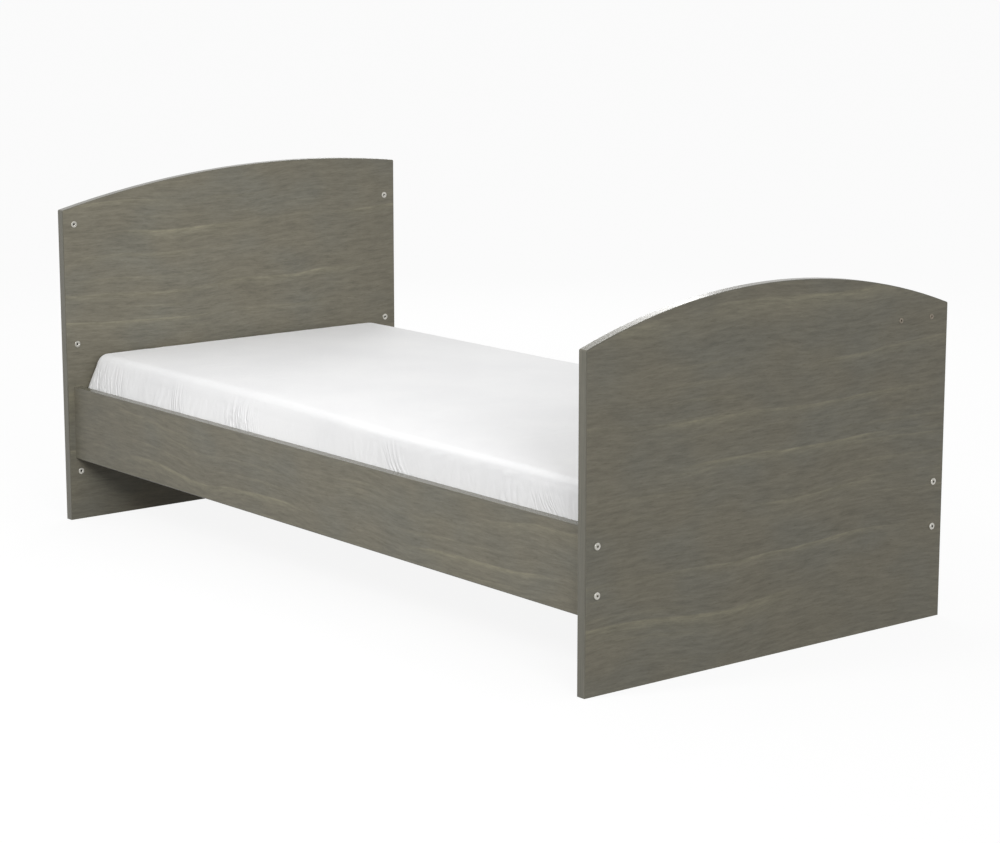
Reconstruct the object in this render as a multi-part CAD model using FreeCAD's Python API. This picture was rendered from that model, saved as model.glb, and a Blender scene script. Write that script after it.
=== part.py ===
import FreeCAD, Part
import math
import os

# A junior bed: headboard and footboard with arched tops, two side rails, a slatted base and a mattress.
# Millimetres. +X runs from the headboard to the footboard, +Z is up, the origin is on the floor at the
# middle of the bed. Left (-Y) and right (+Y) are as seen from the foot, looking at the headboard.

Vec = FreeCAD.Vector
along_x, along_y, along_z = Vec(1, 0, 0), Vec(0, 1, 0), Vec(0, 0, 1)

# Mattress, with its fitted sheet on
mattress_length = 1900.0
mattress_width = 900.0
mattress_height = 120.0
mattress_end_gap = 3.0
mattress_side_gap = 2.0
mattress_corner = 60.0      # plan radius of the four corners
mattress_shoulder = 52.0    # radius of the top edge
mattress_heel = 22.0        # radius of the bottom edge
sheet_thickness = 0.8
sheet_tuck = 110.0          # how far the sheet is turned in under the mattress
elastic_width = 8.0
cover_thickness = 1.6
lay_gap = 0.3               # between layers, and between the mattress and the slats

# Boards
board = 22.0
band = 2.0                  # edging strip
band_round = 1.2            # radius on the long edges of the strips
panel_corner = 4.0          # radius where a panel's side meets its arched top

# Headboard: its crest lies right of the middle, and its left side is the lower one
head_crest = 840.0
head_crest_y = 175.0
head_left = 758.0

# Footboard: symmetric arch
foot_crest = 755.0
foot_side = 669.0

# Side rails
rail_height = 176.0
rail_bottom = 152.0
rail_inset = 18.0           # from the sides of the end panels to the rails' outer faces

# Slatted base
slat_count = 15
slat_width = 68.0
slat_thickness = 14.0
slat_round = 2.5
slat_side_gap = 4.0         # from a slat's end to the rail
slat_end_gap = 30.0         # from an end panel to the first slat
mattress_recess = 48.0      # from the rails' top edge down to the slats
cleat_width = 22.0
cleat_height = 30.0
cleat_end_gap = 10.0
ribbon_width = 20.0
ribbon_thickness = 1.0
ribbon_inset = 150.0        # from a slat's end to the ribbon's middle

# Staples that hold the ribbons to the slats
staple_crown = 11.0
staple_wire = 0.9
staple_leg = 9.0

# Wood screws
screw_radius = 2.0
screw_head_radius = 4.0
screw_head_height = 2.6
screw_length = 34.0
screw_recess = 1.5
cleat_screw_count = 6
cleat_screw_margin = 120.0  # from a cleat's end to its first screw

# Connector bolts and their cross dowels
bolt_radius = 3.0
bolt_collar_radius = 4.3
bolt_collar_length = 8.0
bolt_head_radius = 7.5
bolt_head_height = 2.6
bolt_head_round = 1.4
socket_flats = 5.0
socket_depth = 5.5
bolt_bite = 42.0            # from a rail's end to the bolt's tip
bolt_pitch = 96.0
bolt_rise = 5.0             # from the rail's middle up to the middle of its pair of bolts
nut_radius = 5.0
nut_length = 14.0
nut_depth = 34.0            # from a rail's end to the cross dowel's axis
nut_slot = 1.4
hole_gap = 0.1              # radial, round anything that sits in a drilled hole

# Wooden dowels
dowel_radius = 4.0
dowel_length = 35.0
dowel_in_panel = 12.0

# Insert nuts in the headboard, for M6 screws
insert_inset = 31.0         # from the headboard's side to the column of inserts
insert_left_heights = (119.0, 432.0, 723.0)
insert_right_heights = (119.0, 411.0, 732.0)
insert_flange_radius = 7.7
insert_flange = 1.0
insert_radius = 5.0
insert_length = 13.0
insert_bore = 2.5           # minor radius of an M6 thread
insert_mouth = 0.8          # chamfer at the mouth

# Plugs in the footboard's outer face, near its top right corner
plug_height = 643.0
plug_insets = (48.0, 139.0)     # from the footboard's right side
plug_radius = 4.0
plug_length = 9.0
plug_flange_radius = 5.6
plug_flange = 1.0
plug_dimple = 2.2

# What follows from them
inner_length = mattress_length + 2 * mattress_end_gap
inner_width = mattress_width + 2 * mattress_side_gap
bed_length = inner_length + 2 * board
bed_width = inner_width + 2 * board + 2 * rail_inset
half_inner = inner_length / 2
half_length = bed_length / 2
half_width = bed_width / 2
rail_y = inner_width / 2 + board / 2
rail_top = rail_bottom + rail_height
slat_top = rail_top - mattress_recess
slat_bottom = slat_top - slat_thickness
slat_length = inner_width - 2 * slat_side_gap
mattress_bottom = slat_top + lay_gap
dowel_height = rail_bottom + rail_height / 2 + bolt_rise
bolt_heights = (dowel_height - bolt_pitch / 2, dowel_height + bolt_pitch / 2)
sides = {"left": -1, "right": 1}


def arch_radius(reach, rise):
    """The radius of an arc that drops by rise over a run of reach from its crest."""
    return (reach ** 2 + rise ** 2) / (2 * rise)


# Each arch is its crest's place across the bed, its crest's height and its radius
head_arch = (head_crest_y, head_crest, arch_radius(half_width + head_crest_y, head_crest - head_left))
foot_arch = (0.0, foot_crest, arch_radius(half_width, foot_crest - foot_side))


def save(name, shapes):
    """Write one sub-part: a single solid, or a group of separate solids."""
    shape = shapes if isinstance(shapes, Part.Shape) else Part.makeCompound(shapes)
    shape.exportStep("parts/" + name + ".step")
    print(name, len(shape.Solids), "solid(s)", "valid" if shape.isValid() else "NOT VALID")


def box(x0, x1, y0, y1, z0, z1):
    """A block between two corners."""
    return Part.makeBox(x1 - x0, y1 - y0, z1 - z0, Vec(x0, y0, z0))


def rod(start, direction, radius, length):
    """A plain cylinder from its start along a direction."""
    return Part.makeCylinder(radius, length, start, direction)


def cut_all(shape, tools):
    """Cut the tools away; what is left of one solid is one solid."""
    result = shape.cut(Part.makeCompound(tools)) if tools else shape
    return result.Solids[0] if len(result.Solids) == 1 else result


def edges_where(shape, test):
    return [edge for edge in shape.Edges if test(edge)]


def runs_along(edge, direction):
    """True for a straight edge that runs along the direction."""
    if len(edge.Vertexes) != 2:
        return False
    run = edge.Vertexes[1].Point.sub(edge.Vertexes[0].Point)
    return abs(run.Length - edge.Length) < 1e-6 and run.cross(direction).Length < 1e-6 * run.Length


# ---- boards ----

def arch_height(y, crest_y, crest_z, radius, inset):
    """The height of an arched top at y, drawn in by inset."""
    return crest_z - radius + math.sqrt((radius - inset) ** 2 - (y - crest_y) ** 2)


def arched_board(x0, arch, inset):
    """A panel with straight sides and an arched top, drawn in by inset at the sides and the top."""
    half = half_width - inset
    left, crest, right = [Vec(x0, y, arch_height(y, *arch, inset)) for y in (-half, arch[0], half)]
    foot_left, foot_right = Vec(x0, -half, 0), Vec(x0, half, 0)
    wire = Part.Wire([
        Part.makeLine(foot_left, foot_right),
        Part.makeLine(foot_right, right),
        Part.Arc(right, crest, left).toShape(),
        Part.makeLine(left, foot_left),
    ])
    panel = Part.Face(wire).extrude(Vec(board, 0, 0))
    corners = edges_where(panel, lambda e: runs_along(e, along_x) and e.BoundBox.ZMin > board)
    return panel.makeFillet(panel_corner - inset, corners)


def panel_strips(x0, arch, core):
    """The edging of an end panel: a strip on each side, and one over the corners and the arched top."""
    whole = arched_board(x0, arch, 0.0)
    rim = edges_where(whole, lambda e: e.BoundBox.XLength < 1e-6 and e.BoundBox.ZMax > 1.0)
    edging = whole.makeFillet(band_round, rim).cut(core)
    side_blocks = []
    for side in sides.values():
        y0, y1 = side * (half_width - band), side * (half_width + 1)
        seam = arch_height(side * half_width, *arch, 0.0) - panel_corner
        side_blocks.append(box(x0 - 1, x0 + board + 1, min(y0, y1), max(y0, y1), -1, seam))
    strips = [edging.common(block) for block in side_blocks] + [edging.cut(Part.makeCompound(side_blocks))]
    return [strip.Solids[0] for strip in strips]


def end_panel(x0, arch, tools):
    """A headboard or footboard panel with its holes, and its edging strips."""
    core = arched_board(x0, arch, band)
    return cut_all(core, tools), panel_strips(x0, arch, core)


def rail_panel(side, tools):
    y0, y1 = side * rail_y - board / 2, side * rail_y + board / 2
    core = box(-half_inner, half_inner, y0, y1, rail_bottom + band, rail_top - band)
    return cut_all(core, tools)


def rail_strips(side):
    """The edging strips on a rail's top and bottom edges."""
    strips = []
    for z0, z_round in ((rail_top - band, rail_top), (rail_bottom, rail_bottom)):
        y0, y1 = side * rail_y - board / 2, side * rail_y + board / 2
        strip = box(-half_inner, half_inner, y0, y1, z0, z0 + band)
        rim = edges_where(strip, lambda e: runs_along(e, along_x) and abs(e.BoundBox.ZMax - z_round) < 1e-6)
        strips.append(strip.makeFillet(band_round, rim))
    return strips


# ---- hardware ----

def screw(point, direction):
    """A countersunk wood screw; point is the middle of its head's flat top, direction runs to its tip."""
    head = Part.makeCone(screw_head_radius, screw_radius, screw_head_height, point, direction)
    tip = 2 * screw_radius
    shank = rod(point, direction, screw_radius, screw_length - tip)
    end = Part.makeCone(screw_radius, 0.3, tip, point + direction * (screw_length - tip), direction)
    return head.fuse([shank, end]).removeSplitter()


def cross_recess(point, direction):
    """The cross-shaped recess of a screw's head."""
    across = along_x if abs(direction.dot(along_x)) < 0.5 else along_y
    other = direction.cross(across)
    arm, slot = 0.6 * screw_head_radius, 0.5
    blades = []
    for u, v in ((across, other), (other, across)):
        corners = [point + u * (a * arm) + v * (b * slot) for a, b in ((-1, -1), (1, -1), (1, 1), (-1, 1))]
        blades.append(Part.Face(Part.makePolygon(corners + corners[:1])).extrude(direction * screw_recess))
    return blades


def connector_bolt(y, z, end):
    """A connector bolt through an end panel into a rail; end is -1 at the head, 1 at the foot."""
    inward = along_x * -end
    seat = Vec(end * half_length, y, z)
    outside = seat - inward * bolt_head_height
    head = rod(outside, inward, bolt_head_radius, bolt_head_height)
    rim = edges_where(head, lambda e: abs(e.BoundBox.Center.x - outside.x) < 1e-6)
    head = head.makeFillet(bolt_head_round, rim)
    collar = rod(seat, inward, bolt_collar_radius, bolt_collar_length)
    shank = rod(seat, inward, bolt_radius, board + bolt_bite)
    corner = socket_flats / math.sqrt(3)
    ring = [outside + along_y * (corner * math.cos(math.radians(60 * i)))
            + along_z * (corner * math.sin(math.radians(60 * i))) for i in range(7)]
    socket = Part.Face(Part.makePolygon(ring)).extrude(inward * socket_depth)
    return cut_all(head.fuse([collar, shank]).removeSplitter(), [socket])


def bolt_hole(y, z, end):
    """The hole for a bolt, through the panel and into the rail's end."""
    inward = along_x * -end
    start = Vec(end * (half_length + 1), y, z)
    wide = rod(start, inward, bolt_collar_radius + hole_gap, 1 + board)
    narrow = rod(start, inward, bolt_radius + 5 * hole_gap, 1 + board + bolt_bite + 2)
    return [wide, narrow]


def cross_dowel(side, z, end):
    """A cross dowel nut in a rail, across the bolt."""
    x = end * (half_inner - nut_depth)
    inner_face = Vec(x, side * (rail_y - nut_length / 2), z)
    body = rod(inner_face, along_y * side, nut_radius, nut_length)
    across = 2 * nut_radius + 2
    thread = rod(Vec(x - across / 2, side * rail_y, z), along_x, bolt_radius + hole_gap, across)
    y0 = inner_face.y
    slot = box(x - nut_radius, x + nut_radius, min(y0, y0 + side * nut_slot), max(y0, y0 + side * nut_slot),
               z - nut_slot / 2, z + nut_slot / 2)
    return cut_all(body, [thread, slot])


def cross_dowel_hole(side, z, end):
    """Drilled from the rail's inner face to just past the nut."""
    x = end * (half_inner - nut_depth)
    inner_face = side * (rail_y - board / 2 - 1)
    depth = 1 + board / 2 + nut_length / 2 + hole_gap
    return rod(Vec(x, inner_face, z), along_y * side, nut_radius + hole_gap, depth)


def wooden_dowel(side, end, gap):
    """The dowel that locates a rail's end, or, with a gap, its hole."""
    start = Vec(end * (half_inner + dowel_in_panel + gap), side * rail_y, dowel_height)
    shape = rod(start, along_x * -end, dowel_radius + gap, dowel_length + 2 * gap)
    if gap:
        return shape
    return shape.makeFillet(1.0, edges_where(shape, lambda e: e.BoundBox.XLength < 1e-6))


def outer_rim(disc):
    """The rim of a disc's face on the +X side."""
    far = disc.BoundBox.XMax
    return edges_where(disc, lambda e: e.BoundBox.XLength < 1e-6 and e.BoundBox.XMax > far - 1e-6)


def insert_places():
    places = []
    for name, heights in (("left", insert_left_heights), ("right", insert_right_heights)):
        places += [(sides[name] * (half_width - insert_inset), z) for z in heights]
    return places


def insert_nut(y, z):
    """A flanged M6 insert in the headboard's inner face."""
    face = Vec(-half_inner, y, z)
    mouth_middle = face + along_x * insert_flange
    flange = rod(face, along_x, insert_flange_radius, insert_flange)
    flange = flange.makeFillet(0.5 * insert_flange, outer_rim(flange))
    barrel = rod(face, along_x * -1, insert_radius, insert_length)
    bore = rod(mouth_middle, along_x * -1, insert_bore, insert_flange + insert_length)
    mouth = Part.makeCone(insert_bore + insert_mouth, insert_bore, insert_mouth, mouth_middle, along_x * -1)
    return cut_all(flange.fuse(barrel).removeSplitter(), [bore, mouth])


def insert_hole(y, z):
    depth = insert_length + 1
    return rod(Vec(-half_inner + 1, y, z), along_x * -1, insert_radius + hole_gap, depth + 1)


def hole_plug(inset):
    """A plug with a dimpled flange in the footboard's outer face."""
    face = Vec(half_length, half_width - inset, plug_height)
    flange = rod(face, along_x, plug_flange_radius, plug_flange)
    flange = flange.makeFillet(0.6 * plug_flange, outer_rim(flange))
    stem = rod(face, along_x * -1, plug_radius, plug_length)
    dimple = rod(face + along_x * plug_flange, along_x * -1, plug_dimple, plug_length / 2)
    return cut_all(flange.fuse(stem).removeSplitter(), [dimple])


def plug_hole(inset):
    start = Vec(half_length + 1, half_width - inset, plug_height)
    return rod(start, along_x * -1, plug_radius + hole_gap, plug_length + 2)


# ---- slatted base ----

def slat_centres():
    first = -half_inner + slat_end_gap + slat_width / 2
    pitch = -2 * first / (slat_count - 1)
    return [first + i * pitch for i in range(slat_count)]


def cleat(side, tools):
    """The batten inside a rail that carries the slats' ends."""
    rail_face = side * inner_width / 2
    free_face = rail_face - side * cleat_width
    half = half_inner - cleat_end_gap
    batten = box(-half, half, min(rail_face, free_face), max(rail_face, free_face),
                 slat_bottom - cleat_height, slat_bottom)
    return cut_all(batten, tools)


def cleat_screws(side):
    """Where the screws of one cleat start, and which way they run."""
    first = half_inner - cleat_end_gap - cleat_screw_margin
    step = 2 * first / (cleat_screw_count - 1)
    free_face = side * (inner_width / 2 - cleat_width)
    return [(Vec(-first + i * step, free_face, slat_bottom - cleat_height / 2), along_y * side)
            for i in range(cleat_screw_count)]


def end_slat_screws(side):
    """The screws that hold the first and the last slat to one cleat."""
    y = side * (inner_width / 2 - cleat_width / 2)
    return [(Vec(x, y, slat_top), along_z * -1) for x in (slat_centres()[0], slat_centres()[-1])]


def slat(x, tools):
    half_slat, half = slat_width / 2, slat_length / 2
    plank = box(x - half_slat, x + half_slat, -half, half, slat_bottom, slat_top)
    plank = plank.makeFillet(slat_round, edges_where(plank, lambda e: runs_along(e, along_y)))
    return cut_all(plank, [tool for tool in tools if tool.BoundBox.intersect(plank.BoundBox)])


def ribbon_y(side):
    return side * (slat_length / 2 - ribbon_inset)


def ribbon(side, tools):
    """The webbing under the slats that keeps them apart."""
    half = slat_centres()[-1] + slat_width / 2 - slat_round
    y0, y1 = ribbon_y(side) - ribbon_width / 2, ribbon_y(side) + ribbon_width / 2
    tape = box(-half, half, y0, y1, slat_bottom - ribbon_thickness, slat_bottom)
    return cut_all(tape, [tool for tool in tools if tool.BoundBox.intersect(tape.BoundBox)])


def staple(x, side):
    """Driven from below through the ribbon into the slat: a crown and two legs."""
    y = ribbon_y(side)
    half, wire = staple_crown / 2, staple_wire
    low = slat_bottom - ribbon_thickness - wire
    crown = box(x - half, x + half, y - wire / 2, y + wire / 2, low, low + wire)
    legs = [box(x + a, x + a + wire, y - wire / 2, y + wire / 2, low, slat_bottom + staple_leg)
            for a in (-half, half - wire)]
    return crown.fuse(legs).removeSplitter()


# ---- mattress ----

def pad(inset):
    """The mattress's outer form, drawn in by inset on every side: rounded corners, shoulders and heels."""
    length, width = mattress_length / 2 - inset, mattress_width / 2 - inset
    z0, z1 = mattress_bottom + inset, mattress_bottom + mattress_height - inset
    form = box(-length, length, -width, width, z0, z1)
    form = form.makeFillet(mattress_corner - inset, edges_where(form, lambda e: runs_along(e, along_z)))
    form = form.makeFillet(mattress_shoulder - inset,
                           edges_where(form, lambda e: e.BoundBox.ZMin > z1 - 1e-6))
    return form.makeFillet(mattress_heel - inset, edges_where(form, lambda e: e.BoundBox.ZMax < z0 + 1e-6))


def tuck_window(margin):
    """A rounded block as large as the opening that the turned-in sheet leaves, less a margin."""
    reach = sheet_tuck + margin
    length, width = mattress_length / 2 - reach, mattress_width / 2 - reach
    block = box(-length, length, -width, width, mattress_bottom - 1, mattress_bottom + sheet_thickness + 1)
    return block.makeFillet(mattress_corner, edges_where(block, lambda e: runs_along(e, along_z)))


def hem_elastic():
    """The elastic along the edge of the turned-in sheet."""
    ring = tuck_window(0.0).cut(tuck_window(elastic_width))
    slab = box(-mattress_length, mattress_length, -mattress_width, mattress_width,
               mattress_bottom, mattress_bottom + sheet_thickness)
    return ring.common(slab).Solids[0]


def build():
    os.makedirs("parts", exist_ok=True)

    bolts = {end: [(side * rail_y, z) for side in sides.values() for z in bolt_heights] for end in (-1, 1)}
    bolt_holes = {end: [hole for y, z in bolts[end] for hole in bolt_hole(y, z, end)] for end in (-1, 1)}
    dowel_holes = [wooden_dowel(side, end, hole_gap) for side in sides.values() for end in (-1, 1)]

    inserts = insert_places()
    head_tools = bolt_holes[-1] + dowel_holes + [insert_hole(y, z) for y, z in inserts]
    head, head_strips = end_panel(-half_length, head_arch, head_tools)
    save("headboard_panel", head)
    save("headboard_edging", head_strips)

    foot_tools = bolt_holes[1] + dowel_holes + [plug_hole(inset) for inset in plug_insets]
    foot, foot_strips = end_panel(half_inner, foot_arch, foot_tools)
    save("footboard_panel", foot)
    save("footboard_edging", foot_strips)

    cleat_holds = [place for side in sides.values() for place in cleat_screws(side)]
    cleat_screw_tools = [screw(point, way) for point, way in cleat_holds]
    slat_holds = [place for side in sides.values() for place in end_slat_screws(side)]
    slat_screw_tools = [screw(point, way) for point, way in slat_holds]

    for name, side in sides.items():
        nut_holes = [cross_dowel_hole(side, z, end) for z in bolt_heights for end in (-1, 1)]
        tools = bolt_holes[-1] + bolt_holes[1] + dowel_holes + nut_holes + cleat_screw_tools
        save("side_rail_" + name, rail_panel(side, tools))
        save("side_rail_" + name + "_edging", rail_strips(side))
        save("slat_cleat_" + name, cleat(side, cleat_screw_tools + slat_screw_tools))

    save("head_bolts", [connector_bolt(y, z, -1) for y, z in bolts[-1]])
    save("foot_bolts", [connector_bolt(y, z, 1) for y, z in bolts[1]])
    save("head_cross_dowels", [cross_dowel(side, z, -1) for side in sides.values() for z in bolt_heights])
    save("foot_cross_dowels", [cross_dowel(side, z, 1) for side in sides.values() for z in bolt_heights])
    save("wooden_dowels", [wooden_dowel(side, end, 0) for side in sides.values() for end in (-1, 1)])
    save("headboard_insert_nuts", [insert_nut(y, z) for y, z in inserts])
    save("footboard_hole_plugs", [hole_plug(inset) for inset in plug_insets])
    save("cleat_screws", [cut_all(screw(p, way), cross_recess(p, way)) for p, way in cleat_holds])
    save("slat_end_screws", [cut_all(screw(p, way), cross_recess(p, way)) for p, way in slat_holds])

    staples = [staple(x, side) for x in slat_centres() for side in sides.values()]
    save("ribbon_staples", staples)
    for index, x in enumerate(slat_centres()):
        save("slat_%02d" % (index + 1), slat(x, staples + slat_screw_tools))
    for name, side in sides.items():
        save("slat_ribbon_" + name, ribbon(side, staples))

    sheet_inner = pad(sheet_thickness)
    cover_outer = pad(sheet_thickness + lay_gap)
    cover_inner = pad(sheet_thickness + lay_gap + cover_thickness)
    save("fitted_sheet", cut_all(pad(0.0), [sheet_inner, tuck_window(0.0)]))
    save("sheet_elastic", hem_elastic())
    save("mattress_cover", cut_all(cover_outer, [cover_inner]))
    save("mattress_core", pad(sheet_thickness + 2 * lay_gap + cover_thickness))

    print("headboard's right side is %.1f high" % arch_height(half_width, *head_arch, 0.0))
    print("bed %.1f long, %.1f wide; slats %.1f apart; mattress top at %.1f" % (
        bed_length, bed_width, slat_centres()[1] - slat_centres()[0] - slat_width,
        mattress_bottom + mattress_height))


build()
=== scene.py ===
import math

import bmesh
import bpy
import numpy as np
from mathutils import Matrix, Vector


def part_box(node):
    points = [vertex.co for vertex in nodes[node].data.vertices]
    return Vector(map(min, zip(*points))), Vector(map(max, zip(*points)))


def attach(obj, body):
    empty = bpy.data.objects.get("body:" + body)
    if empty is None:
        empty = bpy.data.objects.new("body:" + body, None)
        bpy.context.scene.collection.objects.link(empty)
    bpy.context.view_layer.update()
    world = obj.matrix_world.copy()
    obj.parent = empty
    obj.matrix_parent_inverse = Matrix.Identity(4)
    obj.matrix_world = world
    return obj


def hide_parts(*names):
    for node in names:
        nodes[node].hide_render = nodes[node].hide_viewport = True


# A junior bed: arched headboard and footboard, rails, slats, and a mattress in a white fitted sheet.
# Metres. +X runs from the headboard to the footboard, +Z is up, left (-Y) is the near side.

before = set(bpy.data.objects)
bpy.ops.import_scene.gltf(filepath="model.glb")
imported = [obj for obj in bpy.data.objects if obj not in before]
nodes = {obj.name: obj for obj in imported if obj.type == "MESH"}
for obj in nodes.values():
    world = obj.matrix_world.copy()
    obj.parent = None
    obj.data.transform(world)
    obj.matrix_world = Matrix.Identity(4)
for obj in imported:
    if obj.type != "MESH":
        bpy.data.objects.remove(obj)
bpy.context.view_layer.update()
print("frame loaded:", len(nodes), "nodes")


# camera, room and light

cameraFacts = {
    "lens": 96.98,
    "sensor": 36.0,
    "place": (4.7066, -3.6875, 1.4842),
    "yaw": 38.712,    # degrees from -X towards +Y
    "pitch": 10.933,  # degrees down
}

roomFacts = {
    "worldLevel": 0.635,    # what the sky gives to the object
    "floorBounce": (0.2, 0.2, 0.2),
    "shadowShare": 0.10,   # how much of its real shading the floor shows
    "lamps": {             # place, what it faces, size, power
        "leftLamp": ((0.4, -2.1, 1.65), (-0.4, 0.0, 0.4), 0.6, 27.5),
        "frontLamp": ((5.4, -2.2, 2.6), (0.0, 0.0, 0.4), 1.8, 114.0),
        "topLamp": ((-0.3, 0.5, 2.6), (0.1, 0.0, 0.4), 0.9, 6.5),
        "backLamp": ((-3.0, 2.4, 2.2), (0.0, 0.0, 0.4), 1.2, 26.0),
    },
}


def addCamera(facts):
    data = bpy.data.cameras.new("bedCamera")
    data.lens, data.sensor_width = facts["lens"], facts["sensor"]
    camera = bpy.data.objects.new("bedCamera", data)
    bpy.context.scene.collection.objects.link(camera)
    yaw, pitch = math.radians(facts["yaw"]), math.radians(facts["pitch"])
    look = Vector((-math.cos(yaw) * math.cos(pitch), math.sin(yaw) * math.cos(pitch), -math.sin(pitch)))
    camera.location = facts["place"]
    camera.rotation_euler = look.to_track_quat("-Z", "Y").to_euler()
    bpy.context.scene.camera = camera


def addLamp(name, place, target, size, power):
    data = bpy.data.lights.new(name, "AREA")
    data.energy, data.size, data.shape = power, size, "SQUARE"
    lamp = bpy.data.objects.new(name, data)
    bpy.context.scene.collection.objects.link(lamp)
    lamp.location = place
    lamp.visible_camera = False
    lamp.rotation_euler = (Vector(target) - Vector(place)).to_track_quat("-Z", "Y").to_euler()


# shader maths: a socket that can be written with as a number is

def linear(red, green, blue):  # display levels from 0 to 255 as linear light
    return tuple(((level / 255 + 0.055) / 1.055) ** 2.4 for level in (red, green, blue))


class Value:
    def __init__(self, finish, socket):
        self.finish, self.socket = finish, socket

    def maths(self, operation, *others):
        return self.finish.node("Math", {"operation": operation}, dict(enumerate((self,) + others)))

    def __add__(self, other):
        return self.maths("ADD", other)

    def __sub__(self, other):
        return self.maths("SUBTRACT", other)

    def __rsub__(self, other):
        return self.finish.node("Math", {"operation": "SUBTRACT"}, {0: other, 1: self})

    def __mul__(self, other):
        return self.maths("MULTIPLY", other)

    def __truediv__(self, other):
        return self.maths("DIVIDE", other)

    def __pow__(self, other):
        return self.maths("POWER", other)

    def __abs__(self):
        return self.maths("ABSOLUTE")

    __radd__ = __add__
    __rmul__ = __mul__

    def fraction(self):
        return self.maths("FRACT")

    def sine(self):
        return self.maths("SINE")

    def most(self, other):
        return self.maths("MAXIMUM", other)

    def least(self, other):
        return self.maths("MINIMUM", other)


class Finish:
    def __init__(self, name):
        self.material = bpy.data.materials.new(name)
        self.material.use_nodes = True
        self.tree = self.material.node_tree
        self.tree.nodes.clear()

    def node(self, kind, settings=None, values=None, out=0):
        node = self.tree.nodes.new("ShaderNode" + kind)
        for key, value in (settings or {}).items():
            setattr(node, key, value)
        for key, value in (values or {}).items():
            if isinstance(value, Value):
                self.tree.links.new(value.socket, node.inputs[key])
            else:
                node.inputs[key].default_value = value
        return Value(self, node.outputs[out])

    def place(self):
        return self.node("TexCoord", out="Object")

    def unrolled(self):
        return self.node("TexCoord", out="UV")

    def parts(self, vector):
        split = self.node("SeparateXYZ", values={0: vector})
        return [Value(self, socket) for socket in split.socket.node.outputs]

    def joined(self, x, y, z):
        return self.node("CombineXYZ", values={0: x, 1: y, 2: z})

    def noise(self, vector, detail=0.0, roughness=0.5):
        return self.node("TexNoise", values={"Vector": vector, "Scale": 1.0, "Detail": detail, "Roughness": roughness})

    def ease(self, value, low, high):  # 0 below low, 1 above high, smooth between
        return self.node("MapRange", {"interpolation_type": "SMOOTHSTEP"}, {"Value": value, "From Min": low, "From Max": high})

    def mix(self, share, first, second):
        colours = [c if isinstance(c, Value) else tuple(c) + (1.0,) for c in (first, second)]
        return self.node("Mix", {"data_type": "RGBA"}, {0: share, 6: colours[0], 7: colours[1]}, out=2)

    def shaded(self, colour, level):  # a colour times a level
        return self.node("VectorMath", {"operation": "SCALE"}, {0: colour, "Scale": level})

    def bump(self, height, distance, strength=1.0):
        return self.node("Bump", values={"Height": height, "Distance": distance, "Strength": strength})

    def surface(self, values):
        shader = self.node("BsdfPrincipled", values=values)
        self.output(shader)
        return self.material

    def output(self, shader):
        node = self.tree.nodes.new("ShaderNodeOutputMaterial")
        self.tree.links.new(shader.socket, node.inputs["Surface"])


def addWorld(facts):
    world = bpy.data.worlds.new("studio")
    bpy.context.scene.world = world
    world.use_nodes = True
    tree = world.node_tree
    tree.nodes.clear()
    rays = tree.nodes.new("ShaderNodeLightPath")
    seen = None
    for name in ("Is Camera Ray", "Is Glossy Ray", "Is Transmission Ray"):
        if seen is None:
            seen = rays.outputs[name]
            continue
        most = tree.nodes.new("ShaderNodeMath")
        most.operation = "MAXIMUM"
        tree.links.new(seen, most.inputs[0])
        tree.links.new(rays.outputs[name], most.inputs[1])
        seen = most.outputs[0]
    lit, shown = [tree.nodes.new("ShaderNodeBackground") for _ in range(2)]
    lit.inputs["Strength"].default_value = facts["worldLevel"]
    shown.inputs["Strength"].default_value = 1.0
    for background in (lit, shown):
        background.inputs["Color"].default_value = (1.0, 1.0, 1.0, 1.0)
    choose = tree.nodes.new("ShaderNodeMixShader")
    tree.links.new(seen, choose.inputs[0])
    tree.links.new(lit.outputs[0], choose.inputs[1])
    tree.links.new(shown.outputs[0], choose.inputs[2])
    output = tree.nodes.new("ShaderNodeOutputWorld")
    tree.links.new(choose.outputs[0], output.inputs["Surface"])


def floorFinish(facts):
    finish = Finish("paleFloor")
    rays = finish.node("LightPath")
    outputs = rays.socket.node.outputs
    seen = Value(finish, outputs["Is Camera Ray"]).most(Value(finish, outputs["Is Glossy Ray"]))
    seen = seen.most(Value(finish, outputs["Is Transmission Ray"]))
    mottle = finish.noise(finish.place(), detail=3.0)
    colour = finish.mix(mottle, (0.95, 0.95, 0.95), (0.98, 0.98, 0.98))
    plain = finish.node("BsdfDiffuse", values={"Color": finish.mix(seen, facts["floorBounce"], colour)})
    white = finish.node("Emission", values={"Color": (1.0, 1.0, 1.0, 1.0), "Strength": 1.0})
    share = seen * (1.0 - facts["shadowShare"])
    finish.output(finish.node("MixShader", values={0: share, 1: plain, 2: white}))
    return finish.material


def addFloor(facts):
    reach, low = 40.0, -0.0004
    mesh = bpy.data.meshes.new("floor")
    mesh.from_pydata([(-reach, -reach, low), (reach, -reach, low), (reach, reach, low), (-reach, reach, low)], [], [(0, 1, 2, 3)])
    floor = bpy.data.objects.new("floor", mesh)
    bpy.context.scene.collection.objects.link(floor)
    mesh.materials.append(floorFinish(facts))


bpy.context.scene.view_settings.view_transform = "Standard"
addCamera(cameraFacts)
addWorld(roomFacts)
addFloor(roomFacts)
for lampName, lampSetting in roomFacts["lamps"].items():
    addLamp(lampName, *lampSetting)
print("camera, floor and lamps set")


# finishes of the boards, the hardware and the timber

boardFacts = {
    "base": linear(112, 108, 95),
    "dark": linear(90, 87, 75),
    "streak": linear(130, 126, 108),
    "cool": linear(108, 107, 98),
    "ringsPerMetre": 8.5,
    "waver": 0.018,         # metres that the figure wanders across the grain
    "roughness": 0.5,
}


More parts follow.
